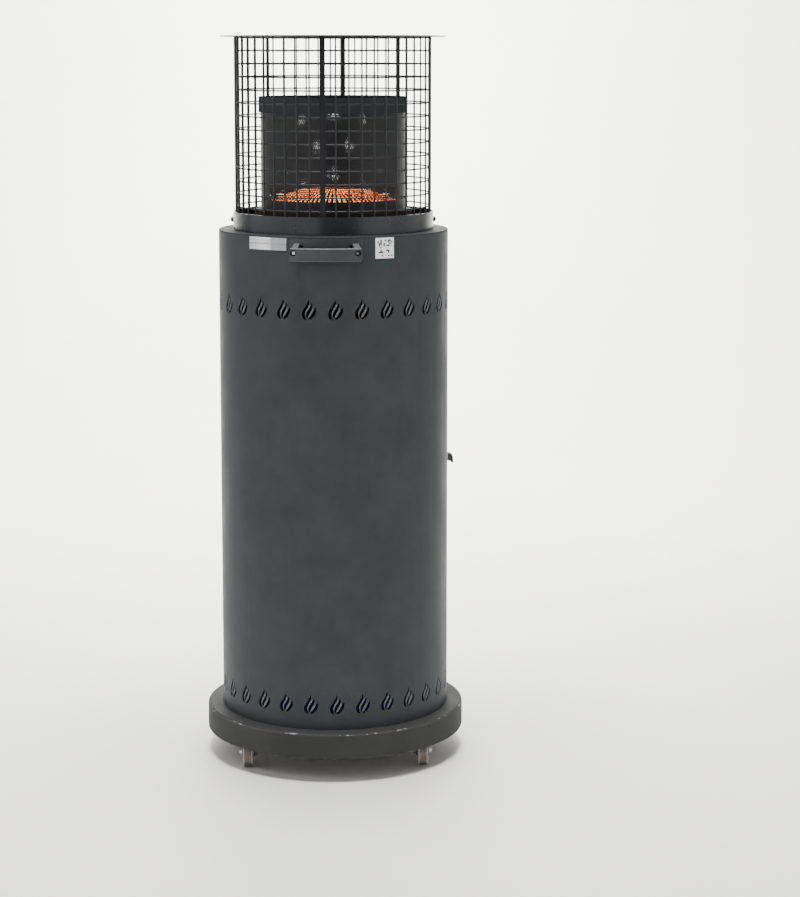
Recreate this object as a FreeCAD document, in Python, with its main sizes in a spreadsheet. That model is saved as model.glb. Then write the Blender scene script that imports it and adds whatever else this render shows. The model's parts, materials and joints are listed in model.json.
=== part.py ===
import FreeCAD, Part
import math
import os

import Sketcher
from FreeCAD import Placement, Rotation, Vector

# A gas area heater: a round housing for the gas bottle on a skirted base with two wheels, and on
# top a burner inside a drum, a wire guard and a flat plate. Millimetres, +Z up, the origin on the
# floor under the middle of the base. A bearing is an angle in plan, in degrees, measured from the
# front (-Y, the side with the grip and the wheels) towards +X.

UP = Vector(0, 0, 1)

DIMENSIONS = (
    ("sheet_metal", 1.5, "thickness of the pressed sheets"),
    ("base_radius", 250, "outside of the base skirt"),
    ("skirt_low", 44.5, "lower edge of the base skirt"),
    ("base_top", 92.5, "top face of the base pan"),
    ("pan_metal", 2, "thickness of the base pan"),
    ("hem_height", 6, "folded hem of the skirt"),
    ("wheel_radius", 28.5, "transport wheel"),
    ("wheel_width", 20, "transport wheel"),
    ("wheel_track", 167, "middle of a wheel from the middle plane"),
    ("wheel_back", -142, "wheel axle, along Y"),
    ("axle_radius", 4, "axle bolt"),
    ("running_gap", 0.05, "radial clearance of a turning pair"),
    ("foot_x", 160, "rear foot from the middle plane"),
    ("foot_y", 150, "rear foot, along Y"),
    ("pad_height", 12, "rubber foot pad"),
    ("body_radius", 220, "outside of the housing"),
    ("body_top", 1020.6, "top face of the deck"),
    ("deck_metal", 2, "thickness of the deck"),
    ("deck_hole", 140, "hole in the deck for the burner"),
    ("door_top", 913.5, "upper edge of the door"),
    ("door_gap", 1.5, "gap round the door"),
    ("door_start", 94.5, "bearing of the edge with the catch"),
    ("door_end", 229, "bearing of the edge with the hinges"),
    ("shell_edge_gap", 0.5, "gap beside the door, in degrees"),
    ("post_outer", 218, "outer face of the inside posts"),
    ("post_inner", 215.5, "inner face of the inside posts"),
    ("shield_low", 926, "underside of the heat shield"),
    ("vent_count", 28, "flame vents in one row"),
    ("vent_bearing", 0.8, "bearing of the first vent"),
    ("vent_scale", 1, "size of a vent against its drawn outline"),
    ("upper_vents", 887, "middle of the upper row"),
    ("lower_vents", 141, "middle of the lower row"),
    ("hinge_radius", 226.3, "axis of the door hinges from the middle"),
    ("hinge_bearing", 230, "bearing of the door hinges"),
    ("knuckle_radius", 6, "hinge knuckle"),
    ("pin_radius", 3, "hinge pin"),
    ("catch_bearing", 98, "bearing of the door catch"),
    ("catch_height", 569, "middle of the door catch"),
    ("catch_shaft", 4, "radius of the catch shaft"),
    ("handle_bearing", -3.5, "bearing of the grip"),
    ("handle_low", 977.5, "lower edge of the grip"),
    ("handle_high", 1002, "upper edge of the grip"),
    ("handle_front", 248, "front face of the grip from the middle"),
    ("collar_radius", 192, "outside of the collar"),
    ("collar_inner", 189.6, "inside of the collar"),
    ("collar_top", 1054.7, "upper edge of the collar"),
    ("tray_radius", 150, "burner tray"),
    ("tray_top", 1058, "top face of the burner tray"),
    ("tray_hole", 126.5, "hole in the tray for the bowl"),
    ("dome_radius", 125, "burner dome"),
    ("dome_edge", 1073, "upper edge of the dome's upright rim"),
    ("dome_top", 1100, "top of the dome"),
    ("dome_sphere", 303, "radius of the sphere that the dome is cut from"),
    ("drum_radius", 138.5, "outside of the emitter drum"),
    ("drum_metal", 1, "thickness of the emitter drum"),
    ("drum_top", 1270.7, "upper edge of the drum"),
    ("cap_radius", 142, "outside of the drum's cap"),
    ("cap_low", 1242.5, "lower edge of the cap's flange"),
    ("plate_radius", 214, "top plate"),
    ("plate_low", 1384.5, "underside of the top plate"),
    ("plate_high", 1386.5, "top of the heater"),
    ("post_ring", 126, "reflector posts from the middle"),
    ("post_turn", -9, "bearing of the first reflector post"),
    ("reflector_post_radius", 3, "reflector post"),
    ("guard_turn", -6, "bearing of the first guard strap"),
    ("wire_radius", 1.5, "guard wire"),
    ("wire_ring", 186.3, "upright guard wires from the middle"),
    ("ring_ring", 183.3, "radius of the guard rings' centre line"),
    ("wire_low", 1023.5, "lower end of the upright wires"),
    ("top_ring", 1382.9, "height of the uppermost guard ring"),
    ("ring_pitch", 24.5, "height between guard rings"),
    ("strap_inner", 184.8, "inner face of the guard straps"),
    ("strap_metal", 2.2, "thickness of the guard straps"),
    ("strap_width", 10, "width of the guard straps"),
    ("control_height", 965, "middle of the knob and the button"),
    ("knob_bearing", 180, "bearing of the gas knob"),
    ("igniter_bearing", 197, "bearing of the igniter button"),
    ("stem_radius", 4, "valve stem"),
    ("screw_radius", 2.2, "shank of every screw"),
    ("valve_front", 205, "face of the gas valve, along Y"),
    ("valve_back", 165, "back of the gas valve, along Y"),
    ("valve_low", 945, "underside of the gas valve"),
    ("hose_radius", 7, "outside of the gas hose"),
    ("hose_bore", 4.5, "inside of the gas hose"),
    ("barb_radius", 4.4, "hose barbs"),
    ("bottle_radius", 152, "gas bottle"),
    ("bottle_low", 112, "underside of the bottle's vessel"),
    ("bottle_high", 590, "top of the bottle's vessel"),
    ("bottle_wall", 3, "wall of the bottle"),
    ("bottle_neck", 16, "bore of the bottle's neck"),
    ("regulator_low", 640, "underside of the regulator"),
    ("regulator_high", 684, "top of the regulator"),
)
SIZE = {alias: value for alias, value, note in DIMENSIONS}

# Outlines of the three slots of one flame vent, from the middle of the vent: across, up. Each slot
# has a right side, drawn downwards from its tip, and a left side, drawn upwards to its tip.
FLAME_SLOTS = (
    (
        ((-0.7, 18.8), (0.8, 12.0), (-2.5, 3.4), (-6.7, -4.6), (-7.0, -13.4), (-5.0, -18.6)),
        ((-5.0, -18.6), (-11.8, -14.8), (-12.9, -4.8), (-7.8, 4.0), (-3.5, 11.4), (-0.7, 18.8)),
    ),
    (
        ((5.8, 12.6), (6.9, 5.0), (3.3, -3.8), (-0.5, -10.4), (-1.7, -16.0)),
        ((-1.7, -16.0), (-4.7, -12.8), (-4.3, -5.4), (0.0, 1.6), (3.4, 7.6), (5.8, 12.6)),
    ),
    (
        ((12.8, 5.2), (13.6, -3.0), (9.6, -11.6), (4.0, -16.8), (-0.9, -18.3)),
        ((-0.9, -18.3), (1.3, -13.6), (5.0, -8.3), (8.8, -1.5), (12.8, 5.2)),
    ),
)

# Bearings of the screws.
BASE_SCREWS = (-112, -62, -12, 38, 86)
DECK_SCREWS = (30, 90, 150, 210, 270, 330)

# The grip's two long screws and its backplate's two short ones: name, hole, bearing, height.
HANDLE_SCREWS = (
    ("grip_left", "screw_radius + 0.02", "handle_bearing - 13.9", "handle_low + 15.5"),
    ("grip_right", "screw_radius + 0.02", "handle_bearing + 13.9", "handle_low + 15.5"),
    ("plate_left", "1.62", "handle_bearing - 11.6", "handle_low + 26"),
    ("plate_right", "1.62", "handle_bearing + 11.6", "handle_low + 26"),
)

document = FreeCAD.newDocument("outdoor_heater")
nodes = []


def fill_sheet():
    """The driving dimensions, one row each: name, number, note."""
    sheet = document.addObject("Spreadsheet::Sheet", "Sizes")
    for row, (alias, value, note) in enumerate(DIMENSIONS, start=1):
        sheet.set(f"A{row}", alias)
        sheet.set(f"B{row}", str(value))
        sheet.setAlias(f"B{row}", alias)
        sheet.set(f"C{row}", note)
    document.recompute()


def amount(text):
    """The value of a sum such as 'body_radius - 2*sheet_metal'."""
    total = 0.0
    sign = 1.0
    for token in str(text).split():
        if token in ("+", "-"):
            sign = 1.0 if token == "+" else -1.0
            continue
        product = sign
        for factor in token.split("*"):
            product *= SIZE[factor] if factor in SIZE else float(factor)
        total += product
        sign = 1.0
    return total


def less(text, other):
    """The sum of one text less another, with every sign of the other turned round."""
    turned_round = {"+": "-", "-": "+"}
    words = str(other).split()
    if words[0] not in turned_round:
        words.insert(0, "+")
    return " ".join([str(text)] + [turned_round.get(word, word) for word in words])


def signed(start, sign, text):
    """The sum of a start and another text, which is turned round where the sign is -1."""
    return less(start, text) if sign < 0 else f"{start} + {text}".replace("+ -", "- ")


def formula(text):
    """The same sum as an expression on the sheet's cells."""
    words = str(text).replace("*", " * ").split()
    return " ".join(f"Sizes.{word}" if word in SIZE else word for word in words)


def bind(item, **sums):
    for name, text in sums.items():
        item.setExpression(name, formula(text))


def put(item, x=0, y=0, z=0, rotation=None):
    """Places an item at three sums, which stay bound to the sheet."""
    item.Placement = Placement(Vector(amount(x), amount(y), amount(z)), rotation or Rotation())
    for axis, text in (("x", x), ("y", y), ("z", z)):
        if text != 0:
            item.setExpression(f"Placement.Base.{axis}", formula(text))
    return item


def put_round(item, radius, bearing, z=0, rotation=None):
    """Places an item at a radius and a bearing, which stay bound to the sheet."""
    angle = math.radians(amount(bearing))
    reach = amount(radius)
    spot = Vector(reach * math.sin(angle), -reach * math.cos(angle), amount(z))
    item.Placement = Placement(spot, rotation or Rotation())
    item.setExpression("Placement.Base.x", f"({formula(radius)}) * sin({formula(bearing)})")
    item.setExpression("Placement.Base.y", f"-({formula(radius)}) * cos({formula(bearing)})")
    item.setExpression("Placement.Base.z", formula(z))
    return item


def facing(bearing):
    """Turns an item that is drawn at the front round to a bearing."""
    return Rotation(UP, amount(bearing))


def outward(bearing):
    """Turns an item that is drawn along +Z so that it points out at a bearing."""
    return facing(bearing) * Rotation(Vector(1, 0, 0), 90)


def cylinder(name, radius, height, angle=None):
    item = document.addObject("Part::Cylinder", name)
    bind(item, Radius=radius, Height=height)
    if angle is not None:
        bind(item, Angle=angle)
    return item


def box(name, length, width, height):
    item = document.addObject("Part::Box", name)
    bind(item, Length=length, Width=width, Height=height)
    return item


def fuse(name, *items):
    item = document.addObject("Part::MultiFuse", name)
    item.Shapes = list(items)
    return item


def cut(name, base, *tools):
    item = document.addObject("Part::Cut", name)
    item.Base = base
    item.Tool = tools[0] if len(tools) == 1 else fuse(name + "_tools", *tools)
    return item


def group(name, items):
    """Separate solids that share one node."""
    item = document.addObject("Part::Compound", name)
    item.Links = list(items)
    return item


def node(label, item):
    """Marks an item as a sub-part. Its label names its file."""
    item.Label = label
    if item.Label != label:
        raise RuntimeError(f"{label} is the label of another object")
    nodes.append(item)
    return item


def tube(name, outer, inner, low, height):
    """An upright round tube about the middle axis."""
    wall = put(cylinder(name + "_wall", outer, height), z=low)
    bore = put(cylinder(name + "_bore", inner, height), z=low)
    return cut(name, wall, bore)


def sector(name, outer, inner, start, end, low, high):
    """A piece of an upright tube between two bearings."""
    turn = Rotation(UP, amount(start) - 90)
    height = less(high, low)
    wall = put(cylinder(name + "_wall", outer, height, less(end, start)), z=low, rotation=turn)
    bore = put(cylinder(name + "_bore", inner, height), z=low)
    return cut(name, wall, bore)


def origin_plane(body, role):
    return next(item for item in body.Origin.OriginFeatures if item.Role == role)


def outline(body, name, role, corners):
    """A closed sketch of straight lines, with every corner bound to two sums."""
    sketch = body.newObject("Sketcher::SketchObject", name)
    sketch.AttachmentSupport = (origin_plane(body, role), [""])
    sketch.MapMode = "FlatFace"
    spots = [Vector(amount(across), amount(up), 0) for across, up in corners]
    count = len(spots)
    for number in range(count):
        line = Part.LineSegment(spots[number], spots[(number + 1) % count])
        sketch.addGeometry(line, False)
    for number in range(count):
        after = (number + 1) % count
        sketch.addConstraint(Sketcher.Constraint("Coincident", number, 2, after, 1))
    for number, corner in enumerate(corners):
        for kind, axis, text, value in (
            ("DistanceX", -2, corner[0], spots[number].x),
            ("DistanceY", -1, corner[1], spots[number].y),
        ):
            if value == 0:
                sketch.addConstraint(Sketcher.Constraint("PointOnObject", number, 1, axis))
                continue
            index = sketch.addConstraint(Sketcher.Constraint(kind, number, 1, value))
            sketch.setExpression(f"Constraints[{index}]", formula(text))
    return sketch


def new_body(name):
    return document.addObject("PartDesign::Body", name)


def turned(name, corners, angle=360):
    """A body of revolution about Z, from an outline of (radius, height) sums."""
    body = new_body(name)
    turn = body.newObject("PartDesign::Revolution", name + "_turn")
    turn.Profile = outline(body, name + "_outline", "XZ_Plane", corners)
    turn.ReferenceAxis = (turn.Profile[0], ["V_Axis"])
    turn.Midplane = True
    bind(turn, Angle=angle)
    return body


def padded(name, role, corners, length):
    """A body made by padding an outline to both sides of an origin plane."""
    body = new_body(name)
    pad = body.newObject("PartDesign::Pad", name + "_pad")
    pad.Profile = outline(body, name + "_outline", role, corners)
    pad.Midplane = True
    bind(pad, Length=length)
    return body


def round_circles(body, radius, circles):
    """Rounds the circular edges of a body that lie at the given (radius, height) sums."""
    document.recompute()
    base = body.Tip
    names = []
    for number, edge in enumerate(base.Shape.Edges, start=1):
        curve = edge.Curve
        if curve.TypeId != "Part::GeomCircle":
            continue
        for edge_radius, height in circles:
            same_radius = abs(curve.Radius - amount(edge_radius)) < 0.01
            if same_radius and abs(curve.Center.z - amount(height)) < 0.01:
                names.append(f"Edge{number}")
    rounding = body.newObject("PartDesign::Fillet", f"{body.Name}_round_{len(body.Group)}")
    rounding.Base = (base, names)
    bind(rounding, Radius=radius)
    body.Tip = rounding
    return body


def upright_holes(name, radius, bearings, low, high):
    """Cutting tools for a ring of screw holes along Z."""
    tools = []
    for number, bearing in enumerate(bearings):
        tool = cylinder(f"{name}_{number}", "screw_radius + 0.02", less(high, low))
        tools.append(put_round(tool, radius, bearing, low))
    return tools


def screw(name, head_radius, head_height, shank_radius, shank_length):
    """A round-headed screw along Z, with the underside of its head at 0."""
    shank = put(cylinder(name + "_shank", shank_radius, shank_length), z=f"- {shank_length}")
    head = cylinder(name + "_head", head_radius, f"0.5*{head_height}")
    crown = document.addObject("Part::Cone", name + "_crown")
    bind(crown, Radius1=head_radius, Radius2=f"0.6*{head_radius}", Height=f"0.5*{head_height}")
    put(crown, z=f"0.5*{head_height}")
    return fuse(name, shank, head, crown)


def rounded_path(spots):
    """Straight runs joined by tangent arcs, each as large as the shorter of its two runs allows."""
    edges = []
    start = spots[0]
    for before, corner, after in zip(spots, spots[1:], spots[2:]):
        run_in = corner - before
        run_out = after - corner
        half_turn = run_in.getAngle(run_out) / 2
        reach = 0.45 * min(run_in.Length, run_out.Length)
        run_in.normalize()
        run_out.normalize()
        bend = reach / math.tan(half_turn)
        inside = run_out - run_in
        inside.normalize()
        middle = corner + inside * (bend / math.cos(half_turn) - bend)
        arc_start = corner - run_in * reach
        arc_end = corner + run_out * reach
        edges.append(Part.LineSegment(start, arc_start).toShape())
        edges.append(Part.Arc(arc_start, middle, arc_end).toShape())
        start = arc_end
    edges.append(Part.LineSegment(start, spots[-1]).toShape())
    return Part.Wire(edges)


def bent_rod(name, route, radius, bore=None):
    """A rod or tube along a route of hand-placed points. A sweep has no sketch of its own here."""
    spots = [Vector(*spot) for spot in route]
    path = rounded_path(spots)
    direction = spots[1] - spots[0]

    def swept(size):
        ring = Part.Wire([Part.makeCircle(size, spots[0], direction)])
        return path.makePipeShell([ring], True, False)

    shape = swept(amount(radius))
    section = math.pi * amount(radius) ** 2
    if bore is not None:
        shape = shape.cut(swept(amount(bore)))
        section -= math.pi * amount(bore) ** 2
    share = shape.Volume / (section * path.Length)
    print(f"{name}: length {path.Length:.0f} mm, volume against section times length {share:.3f}")
    item = document.addObject("Part::Feature", name)
    item.Shape = shape
    return item


def flame_vents(name, start, end):
    """Cutting tools for the flame vents whose middles lie between two bearings."""
    scale = amount("vent_scale")
    near = amount("body_radius") - 12
    depth = Vector(0, -24, 0)
    slots = []
    for sides in FLAME_SLOTS:
        curves = []
        for side in sides:
            curve = Part.BSplineCurve()
            curve.interpolate([Vector(scale * across, -near, scale * up) for across, up in side])
            curves.append(curve.toShape())
        slots.append(Part.Face(Part.Wire(curves)).extrude(depth))
    pitch = 360 / amount("vent_count")
    tools = []
    for number in range(int(amount("vent_count"))):
        bearing = amount("vent_bearing") + number * pitch
        if not amount(start) < bearing - 360 * (bearing > amount(end)) < amount(end):
            continue
        for height in ("upper_vents", "lower_vents"):
            for slot in slots:
                tool = slot.copy()
                tool.Placement = Placement(Vector(0, 0, amount(height)), facing(bearing))
                tools.append(tool)
    item = document.addObject("Part::Feature", name)
    item.Shape = Part.makeCompound(tools)
    return item


def radial_hole(name, radius, bearing, height):
    """A cutting tool through the housing wall, pointing out at a bearing."""
    tool = cylinder(name, radius, 60)
    return put_round(tool, "body_radius - 20", bearing, height, outward(bearing))


def handle_holes(name):
    """Cutting tools for the screws of the grip and its backplate."""
    return [radial_hole(f"{name}_{place}", radius, bearing, height)
            for place, radius, bearing, height in HANDLE_SCREWS]


# Base


def make_base():
    pan = turned(
        "pan",
        (
            (0, "base_top - pan_metal"),
            ("base_radius - pan_metal", "base_top - pan_metal"),
            ("base_radius - pan_metal", "skirt_low + hem_height"),
            ("base_radius - 1.5*pan_metal", "skirt_low + hem_height"),
            ("base_radius - 1.5*pan_metal", "skirt_low"),
            ("base_radius", "skirt_low"),
            ("base_radius", "base_top"),
            (0, "base_top"),
        ),
    )
    round_circles(pan, 5, [("base_radius", "base_top")])
    round_circles(pan, 3, [("base_radius - pan_metal", "base_top - pan_metal")])
    round_circles(pan, 1, [("base_radius", "skirt_low")])
    holes = upright_holes("pan_hole", 209.5, BASE_SCREWS, "base_top - 5", "base_top + 5")
    node("base_pan", cut("base_pan", pan, *holes))
    low, high = "base_top", "base_top + sheet_metal"
    floor = sector("ring_floor", "post_outer", 204, -129, "door_start - 1", low, high)
    wall = sector("ring_wall", "post_outer", 216.5, -129, "door_start - 1", low, "base_top + 14")
    holes = upright_holes("ring_hole", 209.5, BASE_SCREWS, "base_top - 5", "base_top + 5")
    node("base_ring", cut("base_ring", fuse("ring_metal", floor, wall), *holes))


def make_wheels():
    """Each wheel turns on its own bolt between the two ears of a fork under the pan."""
    forks, bolts, nuts = [], [], []
    half = "0.5*wheel_width"
    under_pan = "base_top - pan_metal"
    shoulder = less(under_pan, "wheel_radius")
    for side, sign in (("left", -1), ("right", 1)):
        track = f"{sign}*wheel_track"
        across = Rotation(Vector(0, 1, 0), 90 * sign)
        hub = turned(
            f"wheel_{side}_hub",
            (
                ("axle_radius + running_gap", f"-{half}"),
                (11, f"-{half}"),
                (11, f"-{half} + 3"),
                (22, f"-{half} + 3"),
                (22, f"-{half}"),
                ("wheel_radius - 1.5", f"-{half}"),
                ("wheel_radius", f"-{half} + 1.5"),
                ("wheel_radius", f"{half} - 1.5"),
                ("wheel_radius - 1.5", half),
                (22, half),
                (22, f"{half} - 3"),
                (11, f"{half} - 3"),
                (11, half),
                ("axle_radius + running_gap", half),
            ),
        )
        node(f"wheel_{side}", put(hub, track, "wheel_back", "wheel_radius", across))

        name = f"fork_{side}"
        pieces = []
        for place, offset in (("inner", f"-{half} - 1.5"), ("outer", f"{half} + 1.5")):
            ear = padded(
                f"{name}_{place}_ear",
                "YZ_Plane",
                ((-7, -9), (7, -9), (13, shoulder), (-13, shoulder)),
                2,
            )
            pieces.append(put(ear, signed(track, sign, offset), "wheel_back", "wheel_radius"))
        crown = box(f"{name}_crown", "wheel_width + 15", 26, 2)
        crown_start = f"-{half} - 12.5" if sign > 0 else f"{half} + 2.5"
        crown_x = signed(track, sign, crown_start)
        pieces.append(put(crown, crown_x, "wheel_back - 13", f"{under_pan} - 2"))
        hole = cylinder(f"{name}_hole", "axle_radius + running_gap", "wheel_width + 20")
        put(hole, signed(track, sign, f"-{half} - 10"), "wheel_back", "wheel_radius", across)
        forks.append(cut(name, fuse(f"{name}_metal", *pieces), hole))

        shank = cylinder(f"bolt_{side}_shank", "axle_radius", "wheel_width + 14")
        put(shank, signed(track, sign, f"-{half} - 10"), "wheel_back", "wheel_radius", across)
        head = document.addObject("Part::Cone", f"bolt_{side}_head")
        bind(head, Radius1=6.5, Radius2=4, Height=4.5)
        put(head, signed(track, sign, f"{half} + 2.6"), "wheel_back", "wheel_radius", across)
        bolts.append(fuse(f"bolt_{side}", shank, head))

        hexagon = document.addObject("Part::Prism", f"nut_{side}_hexagon")
        hexagon.Polygon = 6
        bind(hexagon, Circumradius=7.5, Height=5)
        put(hexagon, signed(track, sign, f"-{half} - 8"), "wheel_back", "wheel_radius", across)
        thread = cylinder(f"nut_{side}_thread", "axle_radius + 0.02", 5)
        put(thread, signed(track, sign, f"-{half} - 8"), "wheel_back", "wheel_radius", across)
        nuts.append(cut(f"nut_{side}", hexagon, thread))
    node("wheel_forks", group("wheel_forks", forks))
    node("axle_bolts", group("axle_bolts", bolts))
    node("axle_nuts", group("axle_nuts", nuts))


def make_rear_feet():
    stems, pads = [], []
    for side, sign in (("left", -1), ("right", 1)):
        stem = cylinder(f"foot_{side}", 12, "base_top - pan_metal - pad_height")
        stems.append(put(stem, f"{sign}*foot_x", "foot_y", "pad_height"))
        pad = turned(
            f"pad_{side}",
            (
                (0, 0),
                (15, 0),
                (17, 2),
                (17, "pad_height - 3"),
                (14, "pad_height"),
                (0, "pad_height"),
            ),
        )
        pads.append(put(pad, f"{sign}*foot_x", "foot_y", 0))
    node("rear_feet", group("rear_feet", stems))
    node("foot_pads", group("foot_pads", pads))


# Housing, door and catch


def make_housing():
    deck_low = "body_top - deck_metal"
    inside = "body_radius - sheet_metal"
    sheet = tube("sheet", "body_radius", inside, "base_top", less(deck_low, "base_top"))
    doorway = cylinder("doorway", "body_radius + 5", "door_top + door_gap - base_top",
                       "door_end - door_start + 2*shell_edge_gap")
    put(doorway, z="base_top", rotation=Rotation(UP, amount("door_start - shell_edge_gap") - 90))
    vents = flame_vents("shell_vents", "door_end - 360", "door_start")
    stem_hole = radial_hole("stem_hole", 6, "knob_bearing", "control_height")
    igniter_hole = radial_hole("igniter_hole", 9.3, "igniter_bearing", "control_height")
    node("housing_shell", cut("housing_shell", sheet, doorway, vents, stem_hole, igniter_hole,
                              *handle_holes("shell_hole")))

    posts = []
    for name, start, end in (
        ("catch_post", "door_start - 3.5", "door_start + 2"),
        ("hinge_post", "door_end - 2.5", "door_end + 2.5"),
        ("front_post", -21, -16),
    ):
        posts.append(sector(name, "post_outer", "post_inner", start, end,
                            "base_top + 14.5", "shield_low"))
    node("frame_posts", group("frame_posts", posts))

    shield = put(cylinder("shield_disc", 216, "sheet_metal"), z="shield_low")
    hose_hole = put(cylinder("shield_hose_hole", 12, 10), 0, 185, "shield_low - 4")
    node("heat_shield", cut("heat_shield", shield, hose_hole))

    deck = turned(
        "deck",
        (
            ("deck_hole", deck_low),
            (216.3, deck_low),
            (216.3, "body_top - 18"),
            ("post_outer", "body_top - 18"),
            ("post_outer", deck_low),
            ("body_radius", deck_low),
            ("body_radius", "body_top"),
            ("deck_hole", "body_top"),
        ),
    )
    round_circles(deck, 1.5, [("body_radius", "body_top")])
    holes = upright_holes("screw_hole", 181, DECK_SCREWS, "body_top - 5", "body_top + 5")
    node("top_deck", cut("top_deck", deck, *holes))


def make_door():
    sheet = sector("door_sheet", "body_radius", "body_radius - sheet_metal", "door_start", "door_end",
                   "base_top + door_gap", "door_top")
    vents = flame_vents("door_vents", "door_start", "door_end")
    shaft_hole = radial_hole("shaft_hole", "catch_shaft + 0.5", "catch_bearing", "catch_height")
    node("door_panel", cut("door_panel", sheet, vents, shaft_hole))


def make_hinges():
    """Two hinges outside the housing. Each has two fixed knuckles and one on the door."""
    skin, leaf_face = "body_radius", "body_radius + sheet_metal"
    fixed, moving, pins = [], [], []
    for name, low in (("lower", 180), ("upper", 780)):
        high = low + 41
        low_end, high_start = low + 12, low + 29
        middle_low, middle_high = low + 12.5, low + 28.5

        def strip(part, start, end, bottom, top):
            return sector(f"{name}_{part}", leaf_face, skin, start, end, bottom, top)

        def knuckle(part, bottom, top):
            wall = cylinder(f"{name}_{part}_wall", "knuckle_radius", top - bottom)
            return put_round(wall, "hinge_radius", "hinge_bearing", bottom)

        def bored(part, *metal):
            bore = cylinder(f"{name}_{part}_pin_hole", "pin_radius + running_gap", 60)
            put_round(bore, "hinge_radius", "hinge_bearing", low - 5)
            return cut(f"{name}_{part}", fuse(f"{name}_{part}_metal", *metal), bore)

        root, tip = "hinge_bearing + 0.1", "hinge_bearing + 2.2"
        fixed.append(bored(
            "fixed",
            strip("fixed_leaf", "hinge_bearing + 2", "hinge_bearing + 8", low, high),
            strip("low_tongue", root, tip, low, low_end),
            strip("high_tongue", root, tip, high_start, high),
            knuckle("low_knuckle", low, low_end),
            knuckle("high_knuckle", high_start, high),
        ))
        moving.append(bored(
            "door",
            strip("door_leaf", "door_end - 7", "hinge_bearing - 2", low, high),
            strip("tongue", "hinge_bearing - 2.2", "hinge_bearing - 0.1", middle_low, middle_high),
            knuckle("door_knuckle", middle_low, middle_high),
        ))

        pin = put_round(cylinder(f"{name}_pin", "pin_radius", 43), "hinge_radius", "hinge_bearing", low - 1)
        head = cylinder(f"{name}_pin_head", "pin_radius + 1.5", 2)
        put_round(head, "hinge_radius", "hinge_bearing", high + 0.2)
        pins.append(fuse(f"{name}_hinge_pin", pin, head))
    node("hinge_leaves_fixed", group("hinge_leaves_fixed", fixed))
    node("hinge_leaves_door", group("hinge_leaves_door", moving))
    node("hinge_pins", group("hinge_pins", pins))


def make_catch():
    """A quarter-turn catch. Its cam hangs down when open and turns behind the post to close."""
    turn = outward("catch_bearing")

    def at(item, radius, drop=0):
        return put_round(item, radius, "catch_bearing", f"catch_height - {drop}", turn)

    plate = document.addObject("Part::Cone", "catch_plate")
    bind(plate, Radius1=10.5, Radius2=8, Height=3.8)
    at(plate, "body_radius", -2)
    hole = at(cylinder("catch_plate_hole", "catch_shaft + running_gap", 12), "body_radius - 4")
    node("catch_base", cut("catch_base", plate, hole))

    shaft = at(cylinder("catch_rod", "catch_shaft", 18), 207)
    hub = at(cylinder("catch_hub", 8.5, 4.5), "body_radius + 4.1")
    wing = padded(
        "catch_wing",
        "YZ_Plane",
        (
            (0, -8),
            (-4.5, -9),
            (-8.5, -13),
            (-10.8, -12.6),
            (-10.6, -3),
            (-8.6, 4.6),
            (-3.5, 7.8),
            (0, 7.8),
        ),
        9,
    )
    put_round(wing, "body_radius + 4.1", "catch_bearing", "catch_height", facing("catch_bearing"))
    node("catch_lever", fuse("catch_lever", shaft, hub, wing))

    arm = padded("cam_arm", "XZ_Plane", ((-6, 7), (-6, -20), (-4, -24), (4, -24), (6, -20), (6, 7)), 2)
    put_round(arm, 210, "catch_bearing", "catch_height", facing("catch_bearing"))
    arm_hole = at(cylinder("cam_hole", "catch_shaft + 0.02", 12), 204)
    node("catch_cam", cut("catch_cam", arm, arm_hole))


def make_handle():
    """A curved bar on two legs. Each leg has a recess for its screw in the outer corner."""
    plate_span, grip_span, gap_span = 17.6, 15.3, 12.5
    low, high, bar_back = "handle_low", "handle_low + 39.5", "handle_front - 8"
    plate = sector("plate_strip", "body_radius + sheet_metal", "body_radius",
                   f"handle_bearing - {plate_span}", f"handle_bearing + {plate_span}", low, high)

    back = "body_radius + sheet_metal + 0.1"
    grip = turned(
        "grip",
        (
            (back, low),
            ("handle_front", low),
            ("handle_front", "handle_high"),
            (bar_back, "handle_high"),
            (back, "handle_high + 7"),
        ),
        2 * grip_span,
    )
    gap = grip.newObject("PartDesign::Groove", "finger_gap")
    gap.Profile = outline(
        grip,
        "finger_gap_outline",
        "XZ_Plane",
        (("body_radius", f"{low} - 5"), (bar_back, f"{low} - 5"),
         (bar_back, "handle_high + 12"), ("body_radius", "handle_high + 12")),
    )
    gap.ReferenceAxis = (gap.Profile[0], ["V_Axis"])
    gap.Midplane = True
    bind(gap, Angle=2 * gap_span)
    grip.Tip = gap
    round_circles(grip, 2, [("handle_front", low), ("handle_front", "handle_high")])
    put(grip, rotation=Rotation(UP, amount("handle_bearing") - 90))

    recesses, screws = [], []
    for place, hole, bearing, height in HANDLE_SCREWS:
        if place.startswith("plate"):
            item = screw(f"{place}_screw", 2.8, 1.8, 1.6, 3)
            seat = "body_radius + sheet_metal"
        else:
            item = screw(f"{place}_screw", 4.6, 4.4, "screw_radius", 25)
            seat = bar_back
            recess = cylinder(f"{place}_recess", 5.6, 20)
            recesses.append(put_round(recess, seat, bearing, height, outward(bearing)))
        screws.append(put_round(item, seat, bearing, height, outward(bearing)))
    node("handle_plate", cut("handle_plate", plate, *handle_holes("plate_way")))
    node("handle_grip", cut("handle_grip", grip, *recesses, *handle_holes("grip_way")))
    node("handle_screws", group("handle_screws", screws))


def make_labels():
    foil_face, paper_face = "body_radius + 0.8", "body_radius + 0.35"
    node("rating_plate", sector("rating_plate", foil_face, "body_radius", -44.7, -23.1, 994.8, 1017.8))
    node("blank_label", sector("blank_label", paper_face, "body_radius", 20.4, 30.2, 980, 1018))


# Burner, drum and guard


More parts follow.
